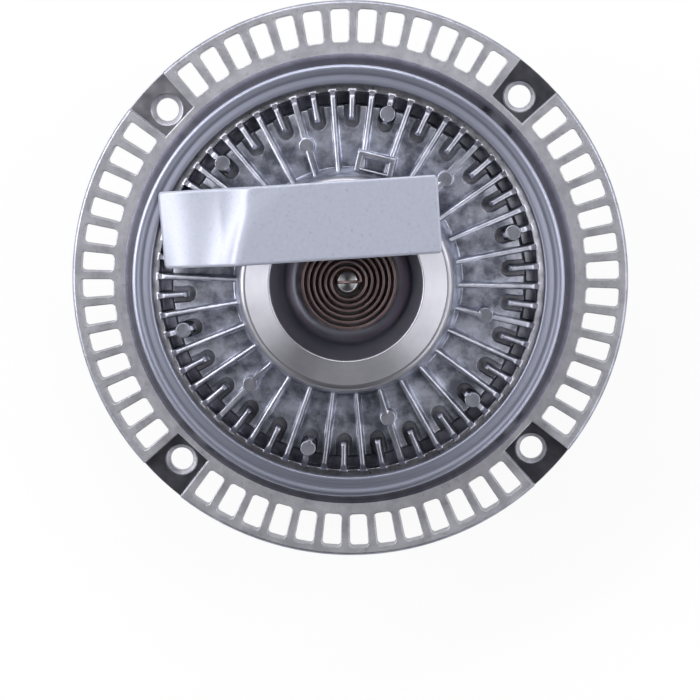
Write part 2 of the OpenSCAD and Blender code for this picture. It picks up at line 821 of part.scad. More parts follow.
module filler_plug() {
    color("gray") rotate(fin_angle(2 * filler_fin + 1)) translate([filler_r, 0, 0]) {
        translate([0, 0, z_roof_back]) cylinder(d = filler_d, h = roof_t);
        translate([0, 0, z_roof]) cylinder(d1 = filler_head_d, d2 = filler_d, h = filler_head_t);
    }
}

module cover_seal() {
    color("black") rotate_extrude() translate([seal_r, z_seat - seal_d / 2 - seal_room / 2]) {
        circle(d = seal_d);
    }
}

// Places of the wiper's rivets, beside the pump's return hole
module at_rivets() {
    for (side = [-1, 1]) rotate(side * rivet_deg) translate([rivet_r, 0, 0]) children();
}

module divider_plate() {
    color("darkgray") difference() {
        translate([0, 0, z_divider]) cylinder(r = divider_r, h = divider_t);
        rotate(port_deg) translate([port_r, 0, z_divider - over]) {
            cylinder(d = port_d, h = divider_t + 2 * over);
        }
        rotate(return_deg) translate([rivet_r, 0, z_divider - over]) {
            cylinder(d = return_d, h = divider_t + 2 * over);
        }
        at_rivets() translate([0, 0, z_divider - over]) {
            cylinder(d = rivet_d, h = divider_t + 2 * over);
        }
    }
}

module pump_wiper() {
    color("peru") difference() {
        translate([0, 0, z_divider - wiper_t]) linear_extrude(wiper_t) {
            polygon(sector(wiper_in_r, wiper_out_r, wiper_deg));
        }
        at_rivets() translate([0, 0, z_divider - wiper_t - over]) {
            cylinder(d = rivet_d, h = wiper_t + 2 * over);
        }
    }
}

module wiper_rivets() {
    color("silver") at_rivets() {
        translate([0, 0, z_divider - wiper_t]) cylinder(d = rivet_d, h = wiper_t + divider_t);
        translate([0, 0, z_divider_top]) cylinder(d = rivet_head_d, h = rivet_head_t);
    }
}

module spindle_bush() {
    color("darkgoldenrod") ring(bush_bore_r, bush_r, z_well_back - bush_stand, z_well + bush_stand);
}

// Points along one side of the spiral strip
function spiral_side(offset) = [for (i = [0:floor(coil_end / coil_step_deg)])
    let (a = i * coil_step_deg) polar(coil_in_r + coil_pitch * a / 360 + offset, a)];

function reversed(list) = [for (i = [len(list) - 1:-1:0]) list[i]];

module bimetal_coil() {
    tang = spindle_head_r - strip_gap;
    color("sienna") translate([0, 0, z_coil]) linear_extrude(coil_w) {
        polygon(concat(spiral_side(coil_t / 2), reversed(spiral_side(-coil_t / 2))));
        translate([-tang, -coil_t / 2]) square([tang + coil_in_r + coil_t / 2, coil_t]);
        rotate(coil_end) translate([coil_out_r - coil_t / 2, -coil_t / 2]) {
            square([coil_tail + coil_t / 2, coil_t]);
        }
    }
}

// Section of the spindle in r and z, from its rivet head up to its slotted head
function spindle_outline() = let (z_low = z_divider_top + pad_gap + rivet_gap)
    let (z_head = z_well + 2 * bush_stand, z_top = z_coil_top + spindle_stand)
    let (groove_r = spindle_r - ring_groove_depth)
    [[0, z_low], [spindle_rivet_r, z_low], [spindle_rivet_r, z_lever], [spindle_tail_r, z_lever],
    [spindle_tail_r, z_lever_top], [spindle_r, z_lever_top], [spindle_r, z_ring_groove],
    [groove_r, z_ring_groove], [groove_r, z_ring_groove + ring_groove_w],
    [spindle_r, z_ring_groove + ring_groove_w], [spindle_r, z_head], [spindle_head_r, z_head],
    [spindle_head_r, z_top - fine_edge], [spindle_head_r - fine_edge, z_top], [0, z_top]];

module valve_spindle() {
    color("lightgray") difference() {
        rotate_extrude() polygon(spindle_outline());
        translate([-spindle_head_d, -slot_w / 2, z_coil - strip_gap]) {
            cube([2 * spindle_head_d, slot_w, coil_w + over]);
        }
    }
}

module spindle_ring() {
    color("black") rotate_extrude() {
        translate([bush_bore_r - ring_section / 2 - ring_play, z_ring_groove + ring_groove_w / 2]) {
            circle(d = ring_section);
        }
    }
}

module valve_lever() {
    color("silver") rotate(port_deg) difference() {
        union() {
            translate([0, 0, z_lever]) linear_extrude(lever_t) {
                circle(lever_hub_r);
                translate([0, -lever_arm_w / 2]) square([port_r, lever_arm_w]);
                translate([port_r, 0]) circle(lever_tip_r);
            }
            translate([port_r, 0, z_lever - lever_pad_t]) {
                cylinder(r = lever_tip_r - fine_edge, h = lever_pad_t);
            }
        }
        translate([0, 0, z_lever - over]) cylinder(r = spindle_tail_r, h = lever_t + 2 * over);
    }
}

// Underside of the label in x and z, from its right end down the slope
function label_path() = concat([[label_right, z_label]],
    [for (i = [0:label_bend_steps]) let (a = label_slope * i / label_bend_steps)
        [-label_fold + label_bend_r * tan(label_slope / 2) - label_bend_r * sin(a),
            z_label - label_bend_r * (1 - cos(a))]],
    [[-label_left, z_label_end]]);

module label() {
    path = label_path();
    lifted = [for (p = reversed(path)) p + [0, label_t]];
    color("whitesmoke") rotate(label_turn) translate([0, label_low + label_w, 0]) {
        rotate([90, 0, 0]) linear_extrude(label_w) polygon(concat(path, lifted));
    }
}

input_shaft();
bearing_inner_ring();
rotor_disc();
rotor_circlip();
bearing_balls();
bearing_cage();
rear_body();
front_cover();
cover_seal();
divider_plate();
pump_wiper();
wiper_rivets();
bearing_outer_ring();
bearing_seal_rear();
bearing_seal_front();
bearing_circlip();
spindle_bush();
filler_plug();
bimetal_coil();
label();
valve_spindle();
spindle_ring();
valve_lever();
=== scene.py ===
import json
from math import atan2, cos, hypot, radians, sin, tan

import bmesh
import bpy
from mathutils import Matrix, Vector


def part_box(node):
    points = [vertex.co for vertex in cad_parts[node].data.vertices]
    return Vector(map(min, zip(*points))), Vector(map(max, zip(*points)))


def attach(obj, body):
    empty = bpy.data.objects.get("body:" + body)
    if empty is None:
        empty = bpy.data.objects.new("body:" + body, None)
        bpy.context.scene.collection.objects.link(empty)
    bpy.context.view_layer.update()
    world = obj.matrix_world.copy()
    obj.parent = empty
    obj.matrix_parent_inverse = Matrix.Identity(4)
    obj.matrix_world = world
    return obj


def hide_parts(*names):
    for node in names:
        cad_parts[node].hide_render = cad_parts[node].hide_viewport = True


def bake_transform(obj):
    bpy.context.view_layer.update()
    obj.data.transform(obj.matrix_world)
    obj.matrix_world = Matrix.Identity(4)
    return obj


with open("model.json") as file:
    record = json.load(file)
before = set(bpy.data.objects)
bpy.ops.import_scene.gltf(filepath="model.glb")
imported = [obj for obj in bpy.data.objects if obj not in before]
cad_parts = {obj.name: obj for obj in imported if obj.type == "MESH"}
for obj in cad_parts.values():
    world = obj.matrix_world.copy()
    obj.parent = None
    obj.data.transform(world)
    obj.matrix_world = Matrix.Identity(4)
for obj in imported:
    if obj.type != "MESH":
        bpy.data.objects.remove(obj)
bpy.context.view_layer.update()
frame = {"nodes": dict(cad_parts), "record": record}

MM = 0.001

# Photograph's frame, in pixels, and where the fan ring lies in it
IMAGE_SIZE = 700
RING_CENTRE_PX = (349.06, 279.48)
RING_RADIUS_PX = 278.5

# Camera: its distance from the fan ring's face, its lean to the right and up, and its roll
CAMERA_DISTANCE = 1.0
LEAN_RIGHT = 0.040
LEAN_UP = 0.063
ROLL_DEG = 2.0
SENSOR_MM = 36.0

# Heights and radii that the frame gives, in metres
RING_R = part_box("rear_body")[1][0]
HUB_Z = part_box("front_cover")[1][2]
COIL_LOW_Z, COIL_TOP_Z = (corner[2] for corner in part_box("bimetal_coil"))

# Fan ring: height of its face, its rounded edge, and the span of the painted light that brightens its
# pads towards the upper left
RING_Z = 42 * MM
RING_EDGE = 1.6 * MM
PAD_REACH = 130 * MM

# Cover: hub, well, floors and fins, in metres
HUB_R = 38 * MM
HUB_BAND = 3 * MM
WELL_R = 27.2 * MM
WELL_Z = 49 * MM
WELL_FLOOR_R = 18.4 * MM
LEDGE_R = 67.2 * MM
ROOF_Z = 51.5 * MM
POCKET_Z = 49.1 * MM
FIN_IN_R, FIN_IN_Z = 38.9 * MM, 60 * MM
FIN_OUT_R, FIN_OUT_Z = 65.7 * MM, 54.2 * MM
FIN_END_R = 66.5 * MM

# Faces of a casting: tolerance of a floor's height, and the upward share of the normal of a face
# that counts as level or as flat
FLOOR_BAND = 0.5 * MM
LEVEL = 0.8
FLAT_UP = 0.98

# Skins: patterns per metre, the makeup of turning marks, the share of a full turn that sets
# highlights across them, where most of a pattern's values lie, and heights of the relief
FLOW_PER_M, GRAIN_PER_M, SPECKS_PER_M = 150, 1400, 700
STAIN_PER_M, CLOUD_PER_M, DUST_PER_M = 60, 150, 300
TINT_PER_M, FIBRE_PER_M = 160, 900
ROLLED_RINGS_PER_M = 2500
RINGS_DETAIL, RINGS_ROUGH = 4.0, 0.7
ACROSS_RINGS = 0.25
SPREAD = (0.3, 0.7)
CAST_RELIEF, RUBBER_RELIEF, FINE_RELIEF = 0.06 * MM, 0.05 * MM, 0.03 * MM
WHITE = (1.0, 1.0, 1.0)

# Lean of the cover's skin towards the fins' ends, in shading only: where it lies, and its fall
FALL_IN_R, FALL_OUT_R = 53 * MM, 67 * MM
FALL = 2.8 * MM

# Shares of a casting's own colour that are left at some radii: painted shade on the cover at the
# hub's foot and towards the fins' outer ends, and the fan ring darker outwards of 83.5 mm
FIN_PAINTED_SHADE = ((40 * MM, 0.76), (47 * MM, 1.0), (50 * MM, 1.0), (61 * MM, 0.56))
RING_DARKENING = ((83.5 * MM, 1.0), (88 * MM, 0.76), (95 * MM, 0.86), (98 * MM, 0.82))

# Rolled rim: wall, bead, groove and lip, and the cuts that round its outline
RIM_Z = 49.5 * MM
RIM_R = 76.9 * MM
RIM_FOOT_R = 80.5 * MM
RIM_FOOT_OUT = 0.9 * MM
RIM_FOOT_LOW = 0.2 * MM
WALL_TOP_R, WALL_TOP_Z = 77.3 * MM, 51 * MM
BEAD_R, BEAD_Z, BEAD_ROUND = 75.45 * MM, 51.7 * MM, 1.75 * MM
BEAD_DEG = range(15, 106, 15)
GROOVE_FOOT_R, GROOVE_Z = 73.3 * MM, 52.9 * MM
LIP_OUT_R, LIP_IN_R, LIP_Z = 72.2 * MM, 70 * MM, 53 * MM
LIP_EDGE = 0.5 * MM
LIP_LOW_Z = 51.3 * MM
RIM_CUTS = 2
RIM_STEPS = 360

# Rolled rim's skin: painted shade in the groove, and the lean of the lip, which is in shading only
GROOVE_R = 73.6 * MM
GROOVE_W = 1.3 * MM
LIP_LEAN_R, LIP_LEAN = 74.4 * MM, 0.4 * MM

# Bimetal strip: spiral, its two bent ends and its edges
COIL_IN_R = 4.7 * MM
COIL_PITCH = 2.05 * MM
COIL_END_DEG = 2260
COIL_LEAD_DEG = 15
COIL_STEP_DEG = 5
COIL_TANG = 3.4 * MM
COIL_TAIL = 3 * MM
COIL_T = 0.9 * MM
COIL_BEND_R = 0.55 * MM
COIL_EDGE = 0.15 * MM
BEND_STEPS = 6

# Label: outline, slanting fold past the hub's edge, sag beside the hub and waves of the free end
LABEL_RIGHT = 34.3 * MM
LABEL_LEFT = 65 * MM
LABEL_LOW_Y = 8.8 * MM
LABEL_W = 27.4 * MM
LABEL_T = 0.2 * MM
LABEL_TURN_DEG = 1.7
LABEL_Z = 69.05 * MM
LABEL_END_Z = 54.6 * MM
LABEL_FOLD_X = 34.6 * MM
LABEL_FOLD_SLANT = 0.27
LABEL_BEND_R = 8 * MM
LABEL_CURL_DEG = 7
LABEL_CORNER = 1.2 * MM
LABEL_STEPS = 120
LABEL_ROWS = 24
LABEL_SAG = 0.9 * MM
LABEL_SAG_RUN = 8 * MM
LABEL_WAVE = 5 * MM
LABEL_WAVE_H = 0.15 * MM
LABEL_WAVE_START = 0.8
LABEL_WAVE_ACROSS = 0.6

# Floor: its gap under the part, radius in metres, grey, and the share that looks plain white
FLOOR_GAP = 0.05 * MM
FLOOR_R = 4.0
FLOOR_SIDES = 64
FLOOR_GREY = 0.85
FLOOR_WHITE_SHARE = 0.9

# Studio: grey of the surroundings by height, and the soft boxes: degrees around from the right,
# degrees up, width and height in metres, power in watts
WORLD_STOPS = ((0.1, 0.2), (0.22, 0.02), (0.95, 0.01))
WORLD_BLUE = 1.04
LIGHT_DISTANCE = 1.4
SOFT_BOXES = {
    "left_box": (170, 28, (1.0, 0.5), 14),
    "left_front_box": (220, 34, (0.5, 0.5), 1.7),
    "right_back_box": (18, 33, (0.6, 0.6), 6),
    "right_box": (-12, 28, (0.6, 0.5), 2.7),
    "right_front_box": (-42, 33, (0.6, 0.6), 4.5),
    "left_back_box": (138, 33, (0.6, 0.6), 5.5),
    "high_right_box": (0, 62, (0.6, 0.6), 2.4),
    "high_left_box": (180, 60, (0.6, 0.6), 1.1),
    "back_box": (90, 30, (1.4, 0.5), 12.5),
}

# Rounding of the castings' edges: its widths and steps, and how the edges for it are told apart
EDGE_R = 0.35 * MM
FIN_EDGE_R = 0.75 * MM
EDGE_SHARE = 0.46
EDGE_STEPS = 3
PAD_FREE_R = 42 * MM
REAR_FIN_Z, REAR_Z = 25 * MM, 34.5 * MM
LONG_EDGE = 2 * MM
SHORT_EDGE = 1 * MM
ACROSS = 0.7
SHARP_DEG = 28
FLAT_DEG = 0.05
FLAT_FACE_WEIGHT = 100
WELD = 0.002 * MM


def fin_top(r):
    return FIN_IN_Z + (FIN_OUT_Z - FIN_IN_Z) * (r - FIN_IN_R) / (FIN_OUT_R - FIN_IN_R)


class Graph:
    """Builds the nodes of one material around its Principled shader."""

    def __init__(self, name):
        self.material = bpy.data.materials.new(name)
        self.material.use_nodes = True
        self.tree = self.material.node_tree
        self.shader = self.tree.nodes["Principled BSDF"]
        self.place = self.tree.nodes.new("ShaderNodeTexCoord").outputs["Object"]

    def node(self, kind, **settings):
        node = self.tree.nodes.new(kind)
        for name, value in settings.items():
            setattr(node, name, value)
        return node

    def link(self, output, target):
        self.tree.links.new(output, target)

    def set(self, **values):
        for name, value in values.items():
            self.shader.inputs[name.replace("_", " ")].default_value = value

    def math(self, operation, first, second=None):
        node = self.node("ShaderNodeMath", operation=operation)
        for socket, value in zip(node.inputs, (first, second)):
            if isinstance(value, (int, float)):
                socket.default_value = value
            elif value is not None:
                self.link(value, socket)
        return node.outputs[0]

    def noise(self, scale, detail=3.0, rough=0.55, stretch=None):
        node = self.node("ShaderNodeTexNoise")
        node.inputs["Scale"].default_value = scale
        node.inputs["Detail"].default_value = detail
        node.inputs["Roughness"].default_value = rough
        vector = self.place
        if stretch is not None:
            mapping = self.node("ShaderNodeMapping")
            mapping.inputs["Scale"].default_value = stretch
            self.link(vector, mapping.inputs["Vector"])
            vector = mapping.outputs["Vector"]
        self.link(vector, node.inputs["Vector"])
        return node.outputs["Fac"]

    def radius(self):
        axes = self.node("ShaderNodeSeparateXYZ")
        self.link(self.place, axes.inputs[0])
        squares = [self.math("MULTIPLY", axes.outputs[i], axes.outputs[i]) for i in (0, 1)]
        return self.math("SQRT", self.math("ADD", *squares))

    def rings(self, per_metre):
        """Noise that changes only with the distance from the part's axis, as turning marks do."""
        node = self.node("ShaderNodeTexNoise", noise_dimensions="1D")
        node.inputs["Scale"].default_value = per_metre
        node.inputs["Detail"].default_value = RINGS_DETAIL
        node.inputs["Roughness"].default_value = RINGS_ROUGH
        self.link(self.radius(), node.inputs["W"])
        return node.outputs["Fac"]

    def ramp(self, factor, *stops):
        node = self.node("ShaderNodeValToRGB")
        elements = node.color_ramp.elements
        while len(elements) < len(stops):
            elements.new(0.5)
        for element, (position, colour) in zip(elements, stops):
            element.position = position
            element.color = (*colour, 1.0)
        self.link(factor, node.inputs["Fac"])
        return node.outputs["Color"]

    def span(self, factor, low, high, from_low=0.0, from_high=1.0):
        node = self.node("ShaderNodeMapRange")
        node.inputs["From Min"].default_value = from_low
        node.inputs["From Max"].default_value = from_high
        node.inputs["To Min"].default_value = low
        node.inputs["To Max"].default_value = high
        self.link(factor, node.inputs["Value"])
        return node.outputs["Result"]

    def multiply(self, first, second):
        node = self.node("ShaderNodeMix", data_type="RGBA", blend_type="MULTIPLY")
        node.inputs["Factor"].default_value = 1.0
        self.link(first, node.inputs["A"])
        self.link(second, node.inputs["B"])
        return node.outputs["Result"]

    def colour(self, output):
        self.link(output, self.shader.inputs["Base Color"])

    def roughness(self, pattern, low, high):
        self.link(self.span(pattern, low, high, *SPREAD), self.shader.inputs["Roughness"])

    def bump(self, height, strength, distance, under=None):
        """Small relief. Where under is given, it lies on that relief."""
        node = self.node("ShaderNodeBump")
        node.inputs["Strength"].default_value = strength
        node.inputs["Distance"].default_value = distance
        self.link(height, node.inputs["Height"])
        if under is not None:
            self.link(under, node.inputs["Normal"])
        self.link(node.outputs["Normal"], self.shader.inputs["Normal"])
        return node.outputs["Normal"]

    def turned(self, amount):
        """Highlights that spread across the rings of a turned face."""
        self.set(Anisotropic=amount, Anisotropic_Rotation=ACROSS_RINGS)
        node = self.node("ShaderNodeTangent", direction_type="RADIAL", axis="Z")
        self.link(node.outputs["Tangent"], self.shader.inputs["Tangent"])


def casting(name, dark, light, rough, darkening=(), fall=0.0):
    """Die-cast skin: cloudy flow marks, a fine grain and a few darker specks.

    A list of radii with the share of the colour that is left at each darkens the skin by radius; on
    the cover that is painted shade. Towards the fins' ends the skin can lean outwards a little, by fall.
    """
    g = Graph(name)
    flow = g.noise(FLOW_PER_M, 6, 0.62)
    grain = g.noise(GRAIN_PER_M)
    specks = g.noise(SPECKS_PER_M, 2)
    g.set(Metallic=1.0)
    skin = g.multiply(g.ramp(flow, (0.38, dark), (0.62, light)),
                      g.ramp(specks, (0.24, (0.8, 0.8, 0.81)), (0.4, WHITE)))
    # Darkening by radius: painted shade on the cover, a darker outer fan ring
    if darkening:
        inner, outer = darkening[0][0], darkening[-1][0]
        stops = [((r - inner) / (outer - inner), (share,) * 3) for r, share in darkening]
        skin = g.multiply(skin, g.ramp(g.span(g.radius(), 0.0, 1.0, inner, outer), *stops))
    g.colour(skin)
    g.roughness(grain, rough - 0.07, rough + 0.07)
    under = None
    if fall:
        drop = g.span(g.radius(), 0.0, 1.0, FALL_IN_R, FALL_OUT_R)
        under = g.bump(g.math("MULTIPLY", g.math("MULTIPLY", drop, drop), -1.0), 1.0, fall)
    g.bump(g.math("ADD", g.math("MULTIPLY", flow, 2.0), grain), 0.35, CAST_RELIEF, under)
    return g.material


def turned(name, dark, light, rough, per_metre, along):
    """Turned metal: fine rings around the axis, faint stains and highlights drawn out across them."""
    g = Graph(name)
    marks = g.rings(per_metre)
    stain = g.noise(STAIN_PER_M, 4)
    g.set(Metallic=1.0)
    g.colour(g.multiply(g.ramp(marks, (0.3, dark), (0.7, light)),
                        g.ramp(stain, (0.35, (0.86, 0.86, 0.88)), (0.65, WHITE))))
    g.roughness(marks, rough - 0.05, rough + 0.06)
    g.bump(marks, 0.12, FINE_RELIEF)
    g.turned(along)
    return g.material


def rolled():
    """Rim that was rolled over the cover: fine rings, and painted shade in the groove beside its bead.
    """
    g = Graph("rolled_aluminium")
    marks = g.rings(ROLLED_RINGS_PER_M)
    groove = g.span(g.radius(), 0.0, 1.0, GROOVE_R - GROOVE_W, GROOVE_R + GROOVE_W)
    g.set(Metallic=1.0)
    # The band over the groove is darkened: painted shade
    g.colour(g.multiply(g.ramp(marks, (0.3, (0.315, 0.33, 0.42)), (0.7, (0.41, 0.43, 0.535))),
                        g.ramp(groove, (0.15, WHITE), (0.5, (0.7, 0.7, 0.72)), (0.85, WHITE))))
    g.roughness(marks, 0.42, 0.5)
    lean = g.span(g.radius(), 0.0, -1.0, LIP_IN_R, LIP_LEAN_R)
    g.bump(marks, 0.12, FINE_RELIEF, g.bump(lean, 1.0, LIP_LEAN))
    g.turned(0.2)
    return g.material


def rim_wall_painted_shade():
    """Wall outside the rolled rim: dull, painted dark as shade, and paler towards its foot."""
    g = Graph("rim_wall_painted_shade")
    cloud = g.noise(CLOUD_PER_M, 5)
    outward = g.span(g.radius(), 0.0, 1.0, RIM_R, RIM_FOOT_R + RIM_FOOT_OUT)
    # Painted shade: nearly black, paler towards the foot
    shade = g.ramp(outward, (0.1, (0.05, 0.052, 0.068)), (0.45, (0.054, 0.056, 0.074)),
                   (0.9, (0.28, 0.28, 0.33)))
    g.set(Metallic=1.0, Specular_Tint=(0.75, 0.75, 0.79, 1.0))
    g.colour(g.multiply(shade, g.ramp(cloud, (0.35, (0.85, 0.85, 0.86)), (0.65, WHITE))))
    g.roughness(cloud, 0.22, 0.28)
    g.bump(cloud, 0.1, FINE_RELIEF)
    return g.material


def pad_skin():
    """Milled bolt pads: smooth, painted dark as shade, with painted light that makes the one at the
    upper left brighter.
    """
    g = Graph("pad_painted_light_and_shade")
    cloud = g.noise(CLOUD_PER_M, 5)
    axes = g.node("ShaderNodeSeparateXYZ")
    g.link(g.place, axes.inputs[0])
    up_left = g.math("SUBTRACT", axes.outputs[1], axes.outputs[0])
    # Painted light and shade: dark pads that grow brighter towards the upper left
    painted_light_up_left = g.ramp(g.span(up_left, 0.0, 1.0, -PAD_REACH, PAD_REACH), (0.05, (0.1, 0.1, 0.12)),
                  (0.6, (0.15, 0.15, 0.175)), (0.95, (0.42, 0.415, 0.46)))
    g.set(Metallic=1.0)
    g.colour(g.multiply(painted_light_up_left, g.ramp(cloud, (0.35, (0.7, 0.7, 0.72)), (0.65, WHITE))))
    g.roughness(cloud, 0.38, 0.46)
    g.bump(cloud, 0.15, FINE_RELIEF)
    return g.material


def bimetal_strip():
    g = Graph("bimetal_strip")
    tint = g.noise(TINT_PER_M, 4)
    scratches = g.noise(FIBRE_PER_M, stretch=(1.0, 1.0, 0.15))
    g.set(Metallic=0.75)
    g.colour(g.ramp(tint, (0.3, (0.165, 0.11, 0.112)), (0.7, (0.295, 0.21, 0.212))))
    g.roughness(scratches, 0.3, 0.46)
    g.bump(scratches, 0.2, FINE_RELIEF)
    return g.material


def label_film():
    g = Graph("label_film")
    fibre = g.noise(FIBRE_PER_M, 4)
    g.set(Metallic=0.1)
    g.colour(g.ramp(fibre, (0.3, (0.36, 0.38, 0.47)), (0.7, (0.4, 0.42, 0.51))))
    g.roughness(fibre, 0.27, 0.32)
    g.bump(fibre, 0.05, FINE_RELIEF)
    return g.material


def rubber(name, dark, light):
    g = Graph(name)
    dust = g.noise(DUST_PER_M, 4)
    g.colour(g.ramp(dust, (0.35, dark), (0.7, light)))
    g.roughness(dust, 0.45, 0.7)
    g.bump(dust, 0.2, RUBBER_RELIEF)
    return g.material


# Die-cast skins: dark and light colour, roughness, darkening by radius and fall
CASTINGS = {
    "cast_aluminium": ((0.25, 0.265, 0.33), (0.79, 0.815, 0.94), 0.45, FIN_PAINTED_SHADE, FALL),
    # Tops of fins and pads and the fan ring's outer edge: a copy of the cast skin in its own tone,
    # painted light
    "cast_edges_painted_light": ((0.32, 0.33, 0.39), (0.45, 0.46, 0.54), 0.43),
    # Low floor and pockets between the fins: darker copies of the cast skin, painted shade
    "cast_recess_painted_shade": ((0.27, 0.27, 0.31), (0.51, 0.51, 0.57), 0.43, (), FALL),
    "cast_pocket_painted_shade": ((0.22, 0.22, 0.25), (0.4, 0.4, 0.45), 0.43),
    # Ledge under the rolled lip and the fins' sloping ends: a darker copy of the cast skin, painted
    # shade
    "cast_ledge_painted_shade": ((0.24, 0.24, 0.275), (0.38, 0.38, 0.43), 0.33),
    "ring_aluminium": ((0.5, 0.495, 0.55), (0.63, 0.625, 0.685), 0.54, RING_DARKENING),
    # Floor of the well under the coil: a dark copy of the cast skin, painted shade
    "well_floor_painted_shade": ((0.2, 0.18, 0.19), (0.34, 0.31, 0.32), 0.45),
}

# Turned metals: dark and light colour, roughness, rings per metre, how far highlights are drawn out
TURNED = {
    "well_wall": ((0.42, 0.44, 0.53), (0.53, 0.55, 0.65), 0.37, 4000, 0.0),
    "turned_aluminium": ((0.78, 0.775, 0.86), (0.92, 0.915, 1.0), 0.4, 5000, 0.86),
    # Hub's rounded edge: a darker copy of the turned aluminium, painted shade
    "hub_edge_painted_shade": ((0.33, 0.33, 0.37), (0.42, 0.42, 0.46), 0.4, 5000, 0.0),
    "machined_aluminium": ((0.62, 0.62, 0.66), (0.78, 0.78, 0.82), 0.3, 3000, 0.7),
    "shaft_steel": ((0.3, 0.3, 0.32), (0.46, 0.46, 0.48), 0.34, 3000, 0.6),
    "bearing_steel": ((0.6, 0.6, 0.62), (0.75, 0.75, 0.77), 0.2, 6000, 0.5),
    "spring_steel": ((0.09, 0.09, 0.1), (0.16, 0.16, 0.17), 0.44, 1500, 0.0),
    "sheet_steel": ((0.46, 0.46, 0.48), (0.62, 0.62, 0.64), 0.34, 1200, 0.2),
    "bush_brass": ((0.25, 0.19, 0.13), (0.36, 0.28, 0.2), 0.4, 6000, 0.2),
    "spindle_steel": ((0.5, 0.5, 0.52), (0.65, 0.65, 0.67), 0.4, 4000, 0.8),
}

MATERIALS = {
    **{name: casting(name, *values) for name, values in CASTINGS.items()},
    **{name: turned(name, *values) for name, values in TURNED.items()},
    "rolled_aluminium": rolled(),
    "rim_wall_painted_shade": rim_wall_painted_shade(),
    "pad_painted_light_and_shade": pad_skin(),
    "bimetal": bimetal_strip(),
    "label_film": label_film(),
    "black_rubber": rubber("black_rubber", (0.012, 0.012, 0.012), (0.05, 0.05, 0.05)),
    "brown_rubber": rubber("brown_rubber", (0.06, 0.032, 0.022), (0.14, 0.08, 0.055)),
}

# Nodes whose finish isn't that of their slot
CAD_MATERIALS = {"valve_spindle": "spindle_steel"}


def dress_cad_nodes():
    for part in frame["record"]["subparts"]:
        mesh = frame["nodes"][part["node"]].data
        mesh.materials.clear()
        mesh.materials.append(MATERIALS[CAD_MATERIALS.get(part["node"], part["material_slot"])])


def new_piece(name, bm, material_names):
    mesh = bpy.data.meshes.new(name)
    bm.to_mesh(mesh)
    bm.free()
    for material in material_names:
        mesh.materials.append(MATERIALS[material])
    piece = bpy.data.objects.new(name, mesh)
    bpy.context.scene.collection.objects.link(piece)
    return piece


def meets_pad(edge, along, sharp):
    """Whether an edge of a fin ends at an ejector pad, whose round wall crosses it in short steps."""
    for vert in edge.verts:
        if hypot(vert.co.x, vert.co.y) > PAD_FREE_R:
            for other in vert.link_edges:
                heading = (other.other_vert(vert).co - vert.co).normalized()
                crosses = abs(heading.dot(along)) < ACROSS
                if other in sharp and crosses and other.calc_length() < SHORT_EDGE:
                    return True
    return False


def rounding_room(edge, sharp):
    """The widest rounding that fits an edge before it meets the next one.

    Corners of the rear floor stay sharp.
    """
    start, end = (vert.co for vert in edge.verts)
    along = (end - start).normalized()
    middle = (start + end) / 2
    r = hypot(middle.x, middle.y)
    if r < RIM_R and min(start.z, end.z) > REAR_FIN_Z and max(start.z, end.z) < REAR_Z:
        return 0.0
    on_top = HUB_R < r < FIN_END_R and middle.z > fin_top(r) - FIN_EDGE_R
    on_fin = on_top and edge.calc_length() > LONG_EDGE
    room = FIN_EDGE_R if on_fin and not meets_pad(edge, along, sharp) else EDGE_R
    for face in edge.link_faces:
        if len(face.verts) <= 4:
            offsets = [vert.co - start for vert in face.verts]
            height = max((o - along * o.dot(along)).length for o in offsets)
            room = min(room, height * EDGE_SHARE)
    for vert in edge.verts:
        for other in vert.link_edges:
            if other not in sharp:
                room = min(room, other.calc_length() * EDGE_SHARE)
    return room


def softened(node, name):
    """A copy of the node's solid with its edges and inner corners rounded, as a casting has them."""
    bm = bmesh.new()
    bm.from_mesh(frame["nodes"][node].data)
    bmesh.ops.remove_doubles(bm, verts=bm.verts, dist=WELD)
    bmesh.ops.dissolve_limit(bm, angle_limit=radians(FLAT_DEG), verts=bm.verts, edges=bm.edges)
    weight = bm.edges.layers.float.new("bevel_weight_edge")
    sharp = {e for e in bm.edges if e.calc_face_angle(0) > radians(SHARP_DEG)}
    for edge in sharp:
        room = rounding_room(edge, sharp)
        edge[weight] = room / FIN_EDGE_R
        edge.smooth = room > 0
    for face in bm.faces:
        face.smooth = True
    piece = new_piece(name, bm, ())
    bevel = piece.modifiers.new("rounding", "BEVEL")
    bevel.limit_method = "WEIGHT"
    bevel.offset_type = "OFFSET"
    bevel.width = FIN_EDGE_R
    bevel.segments = EDGE_STEPS
    bevel.loop_slide = False
    bevel.use_clamp_overlap = False
    mesh = bpy.data.meshes.new_from_object(piece.evaluated_get(bpy.context.evaluated_depsgraph_get()))
    piece.modifiers.clear()
    piece.data = mesh
    return piece


def finish_casting(piece, node, materials, choose):
    """Puts a casting in the node's place. Each of its faces gets the material that choose names."""
    for material in materials:
        piece.data.materials.append(MATERIALS[material])
    corners = piece.data.vertices
    for face in piece.data.polygons:
        points = [corners[i].co for i in face.vertices]
        r = sum(hypot(p.x, p.y) for p in points) / len(points)
        z = sum(p.z for p in points) / len(points)
        face.material_index = materials.index(choose(r, z, face.normal.z))
    normals = piece.modifiers.new("flat_faces", "WEIGHTED_NORMAL")
    normals.weight = FLAT_FACE_WEIGHT
    normals.keep_sharp = True
    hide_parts(node)
    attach(piece, "housing")


